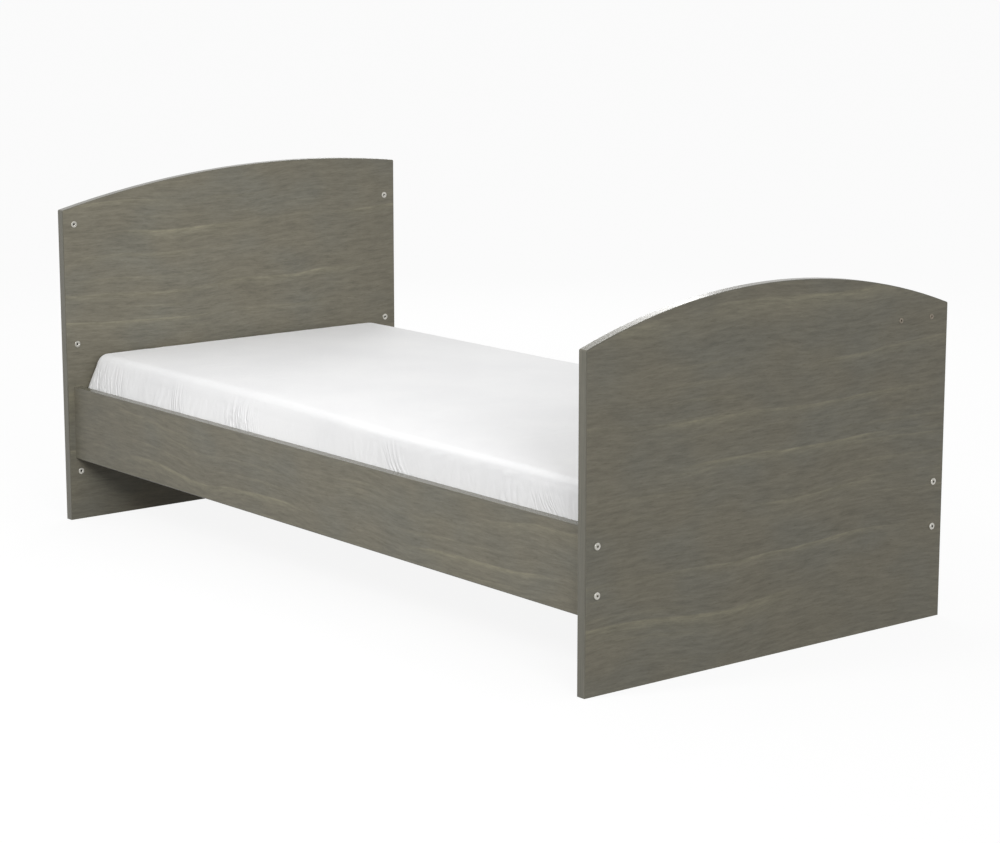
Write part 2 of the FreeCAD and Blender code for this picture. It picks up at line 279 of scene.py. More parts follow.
def boardFinish(name, grain, shift, facts):
    # rings across the board are bent by a slow noise; each ring ends in a thin pale line that fades one way,
    # and short pores run along the grain
    finish = Finish(name)
    x, y, z = finish.parts(finish.place())
    along, across, depth = (y, z, x) if grain == "y" else (x, z, y)
    along = along + shift
    slow = finish.noise(finish.joined(along * 1.9, across * 2.0, shift), detail=1.0)
    bend = finish.noise(finish.joined(along * 6.0, across * 7.0, shift + 4), detail=1.0)
    bent = across + (slow - 0.5) * (4 * facts["waver"]) + (bend - 0.5) * 0.014
    uneven = finish.noise(finish.joined(along * 0.3, bent * 4.0, shift + 9), detail=1.0)
    ring = (bent * facts["ringsPerMetre"] + uneven * 2.6).fraction()
    line = ring ** 10 * finish.ease(1.0 - ring, 0.0, 0.04)
    fade = finish.ease(finish.noise(finish.joined(along * 2.4, bent * 8.0, shift + 15), detail=1.0), 0.40, 0.68)
    second = (bent * (2.7 * facts["ringsPerMetre"]) + uneven * 5.0).fraction() ** 6
    secondFade = finish.ease(finish.noise(finish.joined(along * 3.0, bent * 6.0, shift + 22), detail=1.0), 0.46, 0.72)
    flecks = finish.noise(finish.joined(along * 20, bent * 150, depth * 30), detail=3.0, roughness=0.75)
    streak = (line * fade * 1.1 + second * secondFade * 0.4) * (0.45 + flecks * 1.1)
    pores = finish.noise(finish.joined(along * 60, bent * 400, depth * 30), detail=2.0, roughness=0.7)
    broad = finish.noise(finish.joined(along * 1.1, bent * 14, shift + 31), detail=2.0)
    cloud = finish.noise(finish.joined(along * 6, across * 9, shift + 40), detail=1.0)
    colour = finish.mix(finish.ease(cloud, 0.35, 0.75) * 0.7, facts["base"], facts["cool"])
    colour = finish.mix(finish.ease(pores, 0.5, 0.78) * 0.7, colour, facts["dark"])
    colour = finish.mix(streak, colour, facts["streak"])
    level = 0.28 + broad * 0.18 + flecks * 0.94 + pores * 0.36
    height = flecks * 0.5 + pores * 0.5
    return finish.surface({
        "Base Color": finish.shaded(colour, level),
        "Roughness": facts["roughness"] - 0.08 + pores * 0.16,
        "Specular IOR Level": 0.3,
        "Normal": finish.bump(height, 0.00025, 0.5),
    })


edgingFacts = {
    "base": linear(106, 103, 91),
    "dark": linear(93, 91, 80),
    "roughness": 0.2,
}


def edgingFinish(name, thin, facts):
    # fine lines run along the strip, because the noise is tight only through the board's thickness
    finish = Finish(name)
    place = finish.parts(finish.place())
    tight = [part * (620.0 if axis == thin else 9.0) for part, axis in zip(place, "xyz")]
    lines = finish.noise(finish.joined(*tight), detail=2.0, roughness=0.6)
    mottle = finish.noise(finish.joined(*[part * 55.0 for part in place]), detail=1.0)
    colour = finish.mix(finish.ease(lines, 0.3, 0.75), facts["dark"], facts["base"])
    return finish.surface({
        "Base Color": finish.shaded(colour, 0.93 + mottle * 0.14),
        "Roughness": facts["roughness"] + lines * 0.1,
        "Specular IOR Level": 0.5,
        "Normal": finish.bump(lines, 0.00012, 0.5),
    })


metalFacts = {
    "nickel": {"bright": (0.58, 0.565, 0.52), "dull": (0.42, 0.41, 0.37), "roughness": 0.30},
    "zinc": {"bright": (0.62, 0.63, 0.64), "dull": (0.44, 0.45, 0.47), "roughness": 0.36},
}


def metalFinish(name, facts):
    # cloudy plating with fine scratches across it
    finish = Finish(name)
    place = finish.place()
    x, y, z = finish.parts(place)
    cloud = finish.noise(finish.joined(x * 140, y * 140, z * 140), detail=3.0)
    scratch = finish.noise(finish.joined(x * 300, y * 2600, z * 500), detail=1.0)
    return finish.surface({
        "Base Color": finish.mix(finish.ease(cloud, 0.3, 0.7), facts["dull"], facts["bright"]),
        "Metallic": 1.0,
        "Roughness": facts["roughness"] + cloud * 0.14 + scratch * 0.05,
        "Normal": finish.bump(cloud * 0.6 + scratch * 0.4, 0.00006, 0.6),
    })


timberFacts = {
    "pine": {"early": linear(226, 201, 160), "late": linear(196, 152, 98), "knot": linear(128, 82, 48), "rings": 95.0, "roughness": 0.62},
    "beech": {"early": linear(213, 176, 134), "late": linear(190, 146, 103), "knot": linear(160, 112, 76), "rings": 240.0, "roughness": 0.55},
}


def timberFinish(name, grain, facts, pitch=0.0):
    # plain-sawn rings: bands across the grain, bent by a slow noise, with a shift of their own for each slat
    finish = Finish(name)
    x, y, z = finish.parts(finish.place())
    along, across, depth = (y, x, z) if grain == "y" else (x, y, z)
    if pitch:
        number = (across / pitch + 100.5).maths("FLOOR")
        own = finish.node("TexWhiteNoise", {"noise_dimensions": "1D"}, {"W": number})
    else:
        own = finish.noise(finish.joined(0.0, (across * 3.0).maths("FLOOR"), 0.0))
    run = along + own * 40
    sway = finish.noise(finish.joined(run * 2.4, across * 9.0, own * 30), detail=2.0)
    rings = (across * facts["rings"] + depth * 60.0 + sway * 9.0 + own * 7).fraction()
    late = finish.ease(rings, 0.35, 0.95) * (1.0 - finish.ease(rings, 0.95, 1.0))
    knotPlace = finish.joined(run * 3.2, across * 9.0, own * 11)
    near = finish.node("TexVoronoi", values={"Vector": knotPlace, "Scale": 1.0})
    knot = 1.0 - finish.ease(near, 0.05, 0.11)
    fibre = finish.noise(finish.joined(run * 30, across * 700, depth * 500), detail=2.0)
    tone = finish.noise(finish.joined(run * 0.7, across * 4, own * 19), detail=1.0)
    colour = finish.mix(late * 0.55 + fibre * 0.18, facts["early"], facts["late"])
    colour = finish.mix(knot * 0.85, colour, facts["knot"])
    return finish.surface({
        "Base Color": finish.shaded(colour, 0.80 + tone * 0.16 + own * 0.14),
        "Roughness": facts["roughness"] + fibre * 0.18 - late * 0.06,
        "Specular IOR Level": 0.35,
        "Normal": finish.bump(fibre * 0.7 - late * 0.3, 0.0003, 0.6),
    })


plugFacts = {"base": linear(126, 118, 105), "light": linear(168, 156, 140), "roughness": 0.42}


def plugFinish(facts):
    finish = Finish("plugPlastic")
    x, y, z = finish.parts(finish.place())
    grain = finish.noise(finish.joined(x * 900, y * 900, z * 900), detail=2.0)
    cloud = finish.noise(finish.joined(x * 160, y * 160, z * 160), detail=1.0)
    return finish.surface({
        "Base Color": finish.mix(finish.ease(cloud, 0.3, 0.75) * 0.5, facts["base"], facts["light"]),
        "Roughness": facts["roughness"] + grain * 0.12,
        "Normal": finish.bump(grain, 0.00005, 0.6),
    })


def paint(names, material):
    for name in names:
        node = nodes[name]
        for materialSlot in node.material_slots:
            materialSlot.material = material
        if not node.material_slots:
            node.data.materials.append(material)


slatNames = sorted(name for name in nodes if name.startswith("slat_") and name[5:].isdigit())
slatLow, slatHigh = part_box(slatNames[0]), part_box(slatNames[-1])
slatPitch = ((slatHigh[0] + slatHigh[1]) / 2 - (slatLow[0] + slatLow[1]) / 2).x / (len(slatNames) - 1)

paint(["headboard_panel"], boardFinish("headboardGrain", "y", 3.7, boardFacts))
paint(["footboard_panel"], boardFinish("footboardGrain", "y", 11.3, boardFacts))
paint(["side_rail_left"], boardFinish("leftRailGrain", "x", 21.9, boardFacts))
paint(["side_rail_right"], boardFinish("rightRailGrain", "x", 34.1, boardFacts))
paint(["headboard_edging", "footboard_edging"], edgingFinish("endEdging", "x", edgingFacts))
paint(["side_rail_left_edging", "side_rail_right_edging"], edgingFinish("railEdging", "y", edgingFacts))
paint(["head_bolts", "foot_bolts", "headboard_insert_nuts"], metalFinish("nickelPlate", metalFacts["nickel"]))
paint(["head_cross_dowels", "foot_cross_dowels", "cleat_screws", "slat_end_screws", "ribbon_staples"],
      metalFinish("zincPlate", metalFacts["zinc"]))
paint(["wooden_dowels"], timberFinish("beechDowel", "x", timberFacts["beech"]))
paint(["slat_cleat_left", "slat_cleat_right"], timberFinish("pineCleat", "x", timberFacts["pine"]))
paint(slatNames, timberFinish("pineSlat", "y", timberFacts["pine"], slatPitch))
paint(["footboard_hole_plugs"], plugFinish(plugFacts))
print("boards, hardware and timber finished")


# cloth finishes: threads follow the unrolled cloth, so they run with the weave

def threads(finish, u, v, pitch):
    # over and under: two crossed rows of threads, each rounded, one showing where the other dips
    first = abs((u * (math.pi / pitch)).sine())
    second = abs((v * (math.pi / pitch)).sine())
    return first * 0.5 + second * 0.5


sheetFacts = {
    "colour": linear(229, 229, 229),
    "shade": linear(219, 219, 220),
    "thread": 0.0011,
    "roughness": 0.85,
    "swing": 4.5,           # how far a fold on a side swings towards the foot as it goes down
    "gathers": ((-0.285, 0.085), (-0.86, 0.13), (-0.56, 0.05), (0.30, 0.05), (0.80, 0.07)),
}


def sheetFinish(name, facts, pad):
    finish = Finish(name)
    u, v, _ = finish.parts(finish.unrolled())
    out = abs(v) - (pad["width"] / 2 - pad["corner"])
    wobble = finish.noise(finish.joined(u * 16, v * 20, 2.0), detail=1.0)
    slant = u - out * out * facts["swing"] + wobble * 0.014
    folds = finish.noise(finish.joined(slant * 62, v * 6, 11.0), detail=2.0, roughness=0.55)
    gather = 0.10
    for place, spread in facts["gathers"]:
        gather = gather + finish.ease(1.0 - abs(slant - place) / spread, 0.0, 1.0)
    puckers = finish.noise(finish.joined(u * 60, v * 90, 5.0), detail=2.0)
    folds = (1.0 - abs(folds * 2.0 - 1.0)) ** 4 * gather * finish.ease(out, 0.020, 0.070)
    puckers = puckers * finish.ease(out, 0.070, 0.105) * (gather * 0.5 + 0.25)
    weave = threads(finish, u, v, facts["thread"])
    slub = finish.noise(finish.joined(u * 60, v * 900, 0.0), detail=1.0) + finish.noise(finish.joined(u * 900, v * 60, 3.0), detail=1.0)
    crease = finish.noise(finish.joined(u * 44, v * 8, 7.0), detail=4.0, roughness=0.6)
    cloud = finish.noise(finish.joined(u * 4, v * 4, 0.0), detail=2.0)
    colour = finish.mix(finish.ease(cloud, 0.3, 0.7) * 0.4 + slub * 0.2, facts["colour"], facts["shade"])
    return finish.surface({
        "Base Color": colour,
        "Roughness": facts["roughness"] + weave * 0.08,
        "Sheen Weight": 0.12,
        "Sheen Roughness": 0.5,
        "Specular IOR Level": 0.2,
        "Normal": finish.bump(weave * 0.06 + slub * 0.05 + crease * 1.1 + folds * 1.6 + puckers * 1.1, 0.0022, 0.65),
    })


tickingFacts = {"colour": linear(226, 226, 222), "shade": linear(205, 206, 204), "thread": 0.0022, "roughness": 0.88}


def tickingFinish(facts):
    finish = Finish("quiltedTicking")
    u, v, _ = finish.parts(finish.unrolled())
    knit = threads(finish, u + v, u - v, facts["thread"])
    fuzz = finish.noise(finish.joined(u * 700, v * 700, 0.0), detail=2.0)
    return finish.surface({
        "Base Color": finish.mix(knit * 0.5 + fuzz * 0.3, facts["shade"], facts["colour"]),
        "Roughness": facts["roughness"] + fuzz * 0.1,
        "Sheen Weight": 0.2,
        "Normal": finish.bump(knit * 0.7 + fuzz * 0.5, 0.0006, 0.6),
    })


tapeFacts = {
    "elastic": {"colour": linear(224, 224, 222), "shade": linear(190, 190, 190), "rib": 0.0016, "roughness": 0.8},
    "webbing": {"colour": linear(228, 221, 203), "shade": linear(186, 176, 154), "rib": 0.0022, "roughness": 0.86},
}


def tapeFinish(name, facts):
    # ribs run the length of the tape and wefts cross them in a herringbone
    finish = Finish(name)
    u, v, _ = finish.parts(finish.unrolled())
    ribs = abs((v * (math.pi / facts["rib"])).sine())
    slant = abs(((v * (1.0 / (4 * facts["rib"]))).fraction() - 0.5)) * (4 * facts["rib"])
    wefts = abs(((u + slant) * (math.pi / (0.8 * facts["rib"]))).sine())
    fuzz = finish.noise(finish.joined(u * 800, v * 800, 0.0), detail=1.0)
    return finish.surface({
        "Base Color": finish.mix(wefts * 0.45 + ribs * 0.3 + fuzz * 0.25, facts["shade"], facts["colour"]),
        "Roughness": facts["roughness"] + fuzz * 0.1,
        "Sheen Weight": 0.15,
        "Normal": finish.bump(wefts * 0.5 + ribs * 0.5, 0.0004, 0.7),
    })


# mesh building

def lattice(generator, u, v, cellU, cellV):
    # smooth random heights from -1 to 1: a lattice of random values, eased from point to point
    spanU, spanV = u / cellU, v / cellV
    spanU, spanV = spanU - spanU.min(), spanV - spanV.min()
    table = generator.uniform(-1, 1, (int(spanU.max()) + 2, int(spanV.max()) + 2))
    i, j = spanU.astype(int), spanV.astype(int)
    a, b = [(3 - 2 * t) * t * t for t in (spanU - i, spanV - j)]
    low = table[i, j] * (1 - b) + table[i, j + 1] * b
    high = table[i + 1, j] * (1 - b) + table[i + 1, j + 1] * b
    return low * (1 - a) + high * a


def eased(value, low, high):  # 0 below low, 1 above high, smooth between
    t = np.clip((value - low) / (high - low), 0, 1)
    return (3 - 2 * t) * t * t


def gridQuads(rows, columns, start=0, closed=False):
    # the quads of a grid of points, row by row; closed joins the last column to the first
    index = start + np.arange(rows * columns).reshape(rows, columns)
    if closed:
        index = np.column_stack([index, index[:, :1]])
    return np.stack([index[:-1, :-1], index[:-1, 1:], index[1:, 1:], index[1:, :-1]], axis=-1).reshape(-1, 4)


def readCarried(piece, name):
    values = np.empty(len(piece.data.vertices))
    piece.data.attributes[name].data.foreach_get("value", values)
    return values


def buildMesh(name, points, quads, unrolled=None, material=None, carried=None):
    mesh = bpy.data.meshes.new(name)
    mesh.from_pydata(points.tolist(), [], quads.tolist())
    for key, values in (carried or {}).items():
        mesh.attributes.new(key, "FLOAT", "POINT").data.foreach_set("value", values.astype(np.float32))
    if unrolled is not None:
        layer = mesh.uv_layers.new(name="unrolled")
        loops = np.empty(len(mesh.loops), int)
        mesh.loops.foreach_get("vertex_index", loops)
        layer.data.foreach_set("uv", unrolled[loops].ravel())
    shell = bmesh.new()
    shell.from_mesh(mesh)
    bmesh.ops.remove_doubles(shell, verts=shell.verts, dist=1e-6)
    bmesh.ops.recalc_face_normals(shell, faces=shell.faces)
    shell.to_mesh(mesh)
    shell.free()
    mesh.shade_smooth()
    if material:
        mesh.materials.append(material)
    piece = bpy.data.objects.new(name, mesh)
    bpy.context.scene.collection.objects.link(piece)
    return piece


def addModifier(piece, name, kind, **settings):
    modifier = piece.modifiers.new(name, kind)
    for key, value in settings.items():
        setattr(modifier, key, value)
    return modifier


# the mattress's form

sheetLow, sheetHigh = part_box("fitted_sheet")
padFacts = {
    "length": sheetHigh.x - sheetLow.x,
    "width": sheetHigh.y - sheetLow.y,
    "bottom": sheetLow.z,
    "top": sheetHigh.z,
    "corner": 0.026,
    "shoulder": 0.015,
    "heel": 0.020,
    "tuck": 0.110,
    "crown": (0.004, 0.004),   # rise of the top at its ends, and the rest of it in the middle
    "leanHead": 0.040,         # how far the sides lean in at the top, in the head half and in the foot half
    "leanFoot": 0.006,
    "leanEnds": 0.004,
    "leanFrom": 0.030,         # height above the bottom at which the lean begins
}


def spacedAngles(first, last, count):
    return np.radians(np.linspace(first, last, count, endpoint=False))


def walkRound(length, width, corner, cells):
    # the outline as centres and outward directions: a point lies at centre + outward * (corner - inset)
    halfLength, halfWidth = length / 2 - corner, width / 2 - corner
    longRun, shortRun, arc = cells
    t, s = np.linspace(-1, 1, longRun, endpoint=False), np.linspace(-1, 1, shortRun, endpoint=False)
    centres, outward = [], []
    for turn, (run, half) in enumerate(((t, halfLength), (s, halfWidth), (t, halfLength), (s, halfWidth))):
        angle = math.radians(90 * turn - 90)
        facing = np.array([math.cos(angle), math.sin(angle)])
        ahead = np.array([-facing[1], facing[0]])
        other = halfWidth if turn % 2 == 0 else halfLength
        centres.append(facing * other + run[:, None] * half * ahead)
        outward.append(np.repeat(facing[None], len(run), axis=0))
        bend = spacedAngles(90 * turn - 90, 90 * turn, arc)
        centres.append(np.repeat((facing * other + half * ahead)[None], arc, axis=0))
        outward.append(np.stack([np.cos(bend), np.sin(bend)], axis=1))
    return np.concatenate(centres), np.concatenate(outward)


def padSurface(facts, inset, cells, tucked):
    # rows of the side wall run from the underside round the heel, up the side and over the shoulder to the lip,
    # where the plain top begins; tucked leaves the underside open, and otherwise it has a plain bottom
    length, width = facts["length"] - 2 * inset, facts["width"] - 2 * inset
    low, high = facts["bottom"] + inset, facts["top"] - inset
    corner, shoulder, heel = [facts[key] - inset for key in ("corner", "shoulder", "heel")]
    longRun, shortRun, arc, heelRows, sideRows, shoulderRows, tuckRows = cells
    centres, outward = walkRound(length, width, corner, (longRun, shortRun, arc))
    phi = np.linspace(-math.pi / 2, 0, heelRows, endpoint=False)
    theta = np.linspace(0, math.pi / 2, shoulderRows, endpoint=False)
    sideZ = np.linspace(low + heel, high - shoulder, sideRows, endpoint=False)
    drawnIn = np.concatenate([heel * (1 - np.cos(phi)), 0 * sideZ, shoulder * (1 - np.cos(theta)), [shoulder, corner]])
    height = np.concatenate([low + heel * (1 + np.sin(phi)), sideZ, high - shoulder * (1 - np.sin(theta)), [high, high]])
    outPart = np.concatenate([np.cos(phi), 1 + 0 * sideZ, np.cos(theta), [0, 0]])
    upPart = np.concatenate([np.sin(phi), 0 * sideZ, np.sin(theta), [1, 1]])
    plan = centres[None] + outward[None] * (corner - drawnIn)[:, None, None]
    points = np.concatenate([plan, np.repeat(height[:, None, None], len(centres), axis=1)], axis=2)
    normals = np.concatenate([outward[None] * outPart[:, None, None],
                              np.repeat(upPart[:, None, None], len(centres), axis=1)], axis=2)
    if tucked:
        reach, turn = facts["tuck"], facts["corner"]
        shrink = np.array([(length / 2 - reach - turn) / (length / 2 - corner), (width / 2 - reach - turn) / (width / 2 - corner)])
        hem = centres * shrink + outward * turn
        share = np.linspace(0, 1, tuckRows, endpoint=False)[:, None, None]
        under = hem[None] * (1 - share) + plan[0][None] * share
    else:
        under = centres[None]
    under = np.concatenate([under, np.full(under.shape[:2] + (1,), low)], axis=2)
    down = np.zeros_like(under)
    down[..., 2] = -1
    points, normals = np.concatenate([under, points]), np.concatenate([down, normals])
    steps = np.linalg.norm(np.diff(points, axis=0), axis=2)
    fromLip = np.concatenate([np.cumsum(steps[::-1], axis=0)[::-1], np.zeros((1, steps.shape[1]))])
    unrolled = centres[None] + outward[None] * fromLip[:, :, None]
    rows, columns = points.shape[:2]
    quads = [gridQuads(rows, columns, 0, True)]
    allPoints, allNormals, allUnrolled = [points.reshape(-1, 3)], [normals.reshape(-1, 3)], [unrolled.reshape(-1, 2)]
    across, wide = np.meshgrid(np.linspace(-1, 1, longRun + 1) * (length / 2 - corner),
                               np.linspace(-1, 1, shortRun + 1) * (width / 2 - corner), indexing="ij")
    start = rows * columns
    for level, facing in ((high, 1), (low, -1)):
        if facing < 0 and tucked:
            break
        flat = np.stack([across, wide, np.full_like(across, level)], axis=-1)
        quads.append(gridQuads(longRun + 1, shortRun + 1, start))
        start += flat.size // 3
        allPoints.append(flat.reshape(-1, 3))
        allNormals.append(np.tile([0.0, 0.0, facing], (flat.size // 3, 1)))
        allUnrolled.append(np.stack([across.ravel(), wide.ravel() * facing + (0 if facing > 0 else 3.0)], axis=1))
    return [np.concatenate(part) for part in (allPoints, allNormals, allUnrolled, quads)]


def crownRise(points, facts):
    # the top rises a little towards the middle; nothing below the shoulder moves
    ends, middle = facts["crown"]
    along = np.clip(1 - (2 * points[:, 0] / facts["length"]) ** 2, 0, 1) ** 0.8
    across = 1 - 0.8 * (2 * points[:, 1] / facts["width"]) ** 2
    return (ends + middle * along * across) * eased(points[:, 2], facts["top"] - 0.045, facts["top"] - 0.004)


def leanIn(points, facts):
    # the upper part is drawn towards the middle, more in the head half than in the foot half
    x, y, z = points.T
    rise = np.clip((z - facts["bottom"] - facts["leanFrom"]) / (facts["top"] - facts["bottom"] - facts["leanFrom"]), 0, 1)
    rise = 0.25 * rise ** 2 + 0.75 * rise
    sides = facts["leanHead"] + (facts["leanFoot"] - facts["leanHead"]) * eased(x, -0.25, 0.35)
    towardsY = np.clip(y / (facts["width"] / 2 - facts["corner"]), -1, 1)
    towardsX = np.clip(x / (facts["length"] / 2 - facts["corner"]), -1, 1)
    return np.stack([-towardsX * facts["leanEnds"] * rise, -towardsY * sides * rise, 0 * z], axis=1)


# mattress pad: foam block in a quilted cover

quiltFacts = {
    "inset": 0.0042,
    "diamond": 0.085,
    "depth": 0.0022,
    "piping": 0.0016,
    "pressure": 0.3,
    "cap": 0.0028,
    "cells": (124, 52, 9, 4, 9, 5, 1),
}


def swellPad(piece, facts):
    # the cover is blown up from inside for 20 frames; a point moves no further than the cap
    scene = bpy.context.scene
    rest = np.empty(len(piece.data.vertices) * 3)
    piece.data.vertices.foreach_get("co", rest)
    rest = rest.reshape(-1, 3)
    cloth = piece.modifiers.new("swell", "CLOTH")
    cloth.settings.quality = 4
    cloth.settings.use_pressure = True
    cloth.settings.uniform_pressure_force = facts["pressure"]
    cloth.settings.effector_weights.gravity = 0.0
    cloth.settings.tension_stiffness = cloth.settings.compression_stiffness = 40.0
    cloth.settings.bending_stiffness = 2.0
    cloth.collision_settings.use_collision = False
    scene.frame_start, scene.frame_end = 1, 20
    for step in range(1, 21):
        scene.frame_set(step)
    shaped = piece.evaluated_get(bpy.context.evaluated_depsgraph_get()).to_mesh()
    now = np.empty(len(rest) * 3)
    shaped.vertices.foreach_get("co", now)
    move = now.reshape(-1, 3) - rest
    size = np.linalg.norm(move, axis=1, keepdims=True)
    move *= np.minimum(size, facts["cap"]) / np.maximum(size, 1e-9)
    piece.modifiers.remove(cloth)
    scene.frame_set(1)
    piece.data.vertices.foreach_set("co", (rest + move).ravel())
    piece.data.update()
    print("mattress cover swelled by up to", round(float(size.max()) * 1000, 1), "mm before the cap")


def addQuilt(piece, facts, pad):
    # sewn diamonds on the top and bottom pull the cover in along their lines; upright lines cross the border
    count = len(piece.data.vertices)
    points, normals = np.empty(count * 3), np.empty(count * 3)
    piece.data.vertices.foreach_get("co", points)
    piece.data.vertices.foreach_get("normal", normals)
    points, normals = points.reshape(-1, 3), normals.reshape(-1, 3)
    x, y, z = points.T
    flat = eased(np.abs(normals[:, 2]), 0.75, 0.98)
    diamonds = np.abs(np.sin((x + y) * math.pi / facts["diamond"]) * np.sin((x - y) * math.pi / facts["diamond"]))
    border = np.abs(np.sin((np.abs(normals[:, 1]) * x + np.abs(normals[:, 0]) * y) * math.pi / 0.05))
    quilt = flat * np.sqrt(diamonds) + (1 - flat) * np.sqrt(border) * 0.6
    points += normals * ((quilt - 1) * facts["depth"])[:, None]
    lean = leanIn(points, pad)
    points[:, 2] += crownRise(points, pad)
    points += lean
    piece.data.vertices.foreach_set("co", points.ravel())
    piece.data.update()


def addPad():
    points, normals, unrolled, quads = padSurface(padFacts, quiltFacts["inset"], quiltFacts["cells"], False)
    piece = buildMesh("mattress_pad", points, quads, unrolled, tickingFinish(tickingFacts))
    swellPad(piece, quiltFacts)
    addQuilt(piece, quiltFacts, padFacts)
    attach(piece, "mattress")
    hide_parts("mattress_cover", "mattress_core")
    return piece


pad = addPad()
print("mattress pad made")


# fitted sheet

fittedFacts = {
    "cloth": 0.0007,
    "cells": (280, 60, 14, 5, 13, 7, 9),
    "seed": 7,
    "bedInset": 0.0016,
    "clearance": 0.0008,
    "spare": 0.05,              # spare length where the cloth is slackest
    "topSlack": 0.12,
    "bending": 0.02,
    "frames": 24,
    "cap": 0.009,
    "gathers": ((-0.30, 0.06, 1.0), (-0.62, 0.05, 0.5), (0.22, 0.07, 0.4), (0.70, 0.08, 0.7)),  # place, spread, strength
    "cut": (1.330, 2.330),      # flat size, to the ends of the tucked-in edges
}


def sheetRelief(unrolled, points, facts, pad):
    # u and v lie in the cloth as if it were spread out flat; out is how far a point is beyond the top's lip
    generator = np.random.default_rng(facts["seed"])
    u, v = unrolled.T
    halfLength, halfWidth = pad["length"] / 2, pad["width"] / 2
    out = np.maximum(np.abs(u) - (halfLength - pad["corner"]), np.abs(v) - (halfWidth - pad["corner"]))
    round_ = np.where(np.abs(v) - halfWidth > np.abs(u) - halfLength, u, v)
    topShare = 1 - eased(out, 0.0, 0.05)
    sideShare = eased(out, 0.035, 0.075) * (1 - eased(out, 0.165, 0.185))
    relief = 0.0004 + np.zeros_like(u)
    # shallow creases lie across the top, each with its own length
    sway = 0.04 * lattice(generator, u, v, 0.22, 0.16)
    for cell, stretch, amount in ((0.026, 7, 0.0009), (0.016, 9, 0.0006), (0.080, 4, 0.0022)):
        wave = lattice(generator, u + sway, v, cell, cell * stretch)
        gate = eased(lattice(generator, u, v, 0.24, 0.18), -0.5, 0.6)
        relief += topShare * amount * gate * (0.5 + 0.5 * wave)
    # folds run down the sides, leaning as they go; some places gather more of them
    lean = round_ - 0.30 * out + 0.012 * lattice(generator, u, v, 0.07, 0.05)
    gather = 0.25 * eased(lattice(generator, round_, out, 0.16, 0.5), -0.2, 0.8)
    for place, spread, strength in facts["gathers"]:
        gather += strength * np.exp(-((round_ - place) / spread) ** 2) * np.where(v < 0, 1.0, 0.6)
    for cell, amount in ((0.050, 0.0016), (0.021, 0.0030), (0.013, 0.0016)):
        wave = lattice(generator, lean, out, cell, cell * 7)
        relief += sideShare * amount * gather * (1 - np.abs(wave)) ** 1.5 * eased(out, 0.04, 0.11)
    # folds fan out from each corner
    cornerU, cornerV = np.abs(u) - (halfLength - pad["corner"]), np.abs(v) - (halfWidth - pad["corner"])
    away = np.hypot(np.maximum(cornerU, 0) / 0.17, np.maximum(cornerV, 0) / 0.17)
    near = np.exp(-(np.maximum(-np.minimum(cornerU, cornerV), 0) / 0.07) ** 2)
    fan = np.arctan2(cornerV + 0.05, cornerU + 0.05) * 6.0 + np.sign(u) * 9 + np.sign(v) * 23
    pull = lattice(generator, fan, away, 0.5, 0.9)
    relief += 0.0034 * near * eased(away, 0.25, 0.75) * (1 - np.abs(pull)) ** 1.5 * (1 - eased(out, 0.165, 0.185))
    slack = np.clip(gather * eased(out, 0.03, 0.08) + near * eased(away, 0.1, 0.6), 0, 1) * (1 - eased(out, 0.16, 0.18))
    slack = np.maximum(slack, facts["topSlack"] * topShare * eased(lattice(generator, u, v, 0.2, 0.15), -0.3, 0.7))
    hold = np.maximum(eased(out, 0.15, 0.18), 0.0)
    return relief, slack, hold


def settleSheet(piece, slack, hold, facts):
    # the cloth is given spare length where it is slack, and settles on a smooth copy of the pad
    points, normals, _, quads = padSurface(padFacts, facts["bedInset"], quiltFacts["cells"], False)
    lean = leanIn(points, padFacts)
    points[:, 2] += crownRise(points, padFacts)
    bed = buildMesh("pad_copy", points + lean, quads)
    bed.modifiers.new("touch", "COLLISION")
    bed.collision.thickness_outer = facts["clearance"]
    bed.collision.cloth_friction = 8.0
    tight = piece.vertex_groups.new(name="tight")
    held = piece.vertex_groups.new(name="held")
    for index, (loose, pin) in enumerate(zip(slack, hold)):
        tight.add([index], float(1 - loose), "REPLACE")
        if pin > 0.02:
            held.add([index], float(pin), "REPLACE")
    cloth = piece.modifiers.new("settle", "CLOTH")
    cloth.settings.quality = 5
    cloth.settings.mass = 0.12
    cloth.settings.tension_stiffness = cloth.settings.compression_stiffness = 25.0
    cloth.settings.shear_stiffness = 8.0
    cloth.settings.bending_stiffness = facts["bending"]
    cloth.settings.vertex_group_shrink = "tight"
    cloth.settings.shrink_min, cloth.settings.shrink_max = -facts["spare"], 0.0
    cloth.settings.vertex_group_mass = "held"
    cloth.collision_settings.distance_min = facts["clearance"]
    cloth.collision_settings.collision_quality = 2
    scene = bpy.context.scene
    scene.frame_start, scene.frame_end = 1, facts["frames"]
    for step in range(1, facts["frames"] + 1):
        scene.frame_set(step)
    shaped = piece.evaluated_get(bpy.context.evaluated_depsgraph_get()).to_mesh()
    now = np.empty(len(shaped.vertices) * 3)
    shaped.vertices.foreach_get("co", now)
    rest = np.empty(len(now))
    piece.data.vertices.foreach_get("co", rest)
    move = (now - rest).reshape(-1, 3)
    size = np.linalg.norm(move, axis=1, keepdims=True)
    print("sheet settled by up to", round(float(size.max()) * 1000, 1), "mm")
    move *= np.minimum(size, facts["cap"]) / np.maximum(size, 1e-9)
    piece.modifiers.remove(cloth)
    scene.frame_set(1)
    bpy.data.objects.remove(bed)
    piece.data.vertices.foreach_set("co", rest + move.ravel())
    piece.data.update()


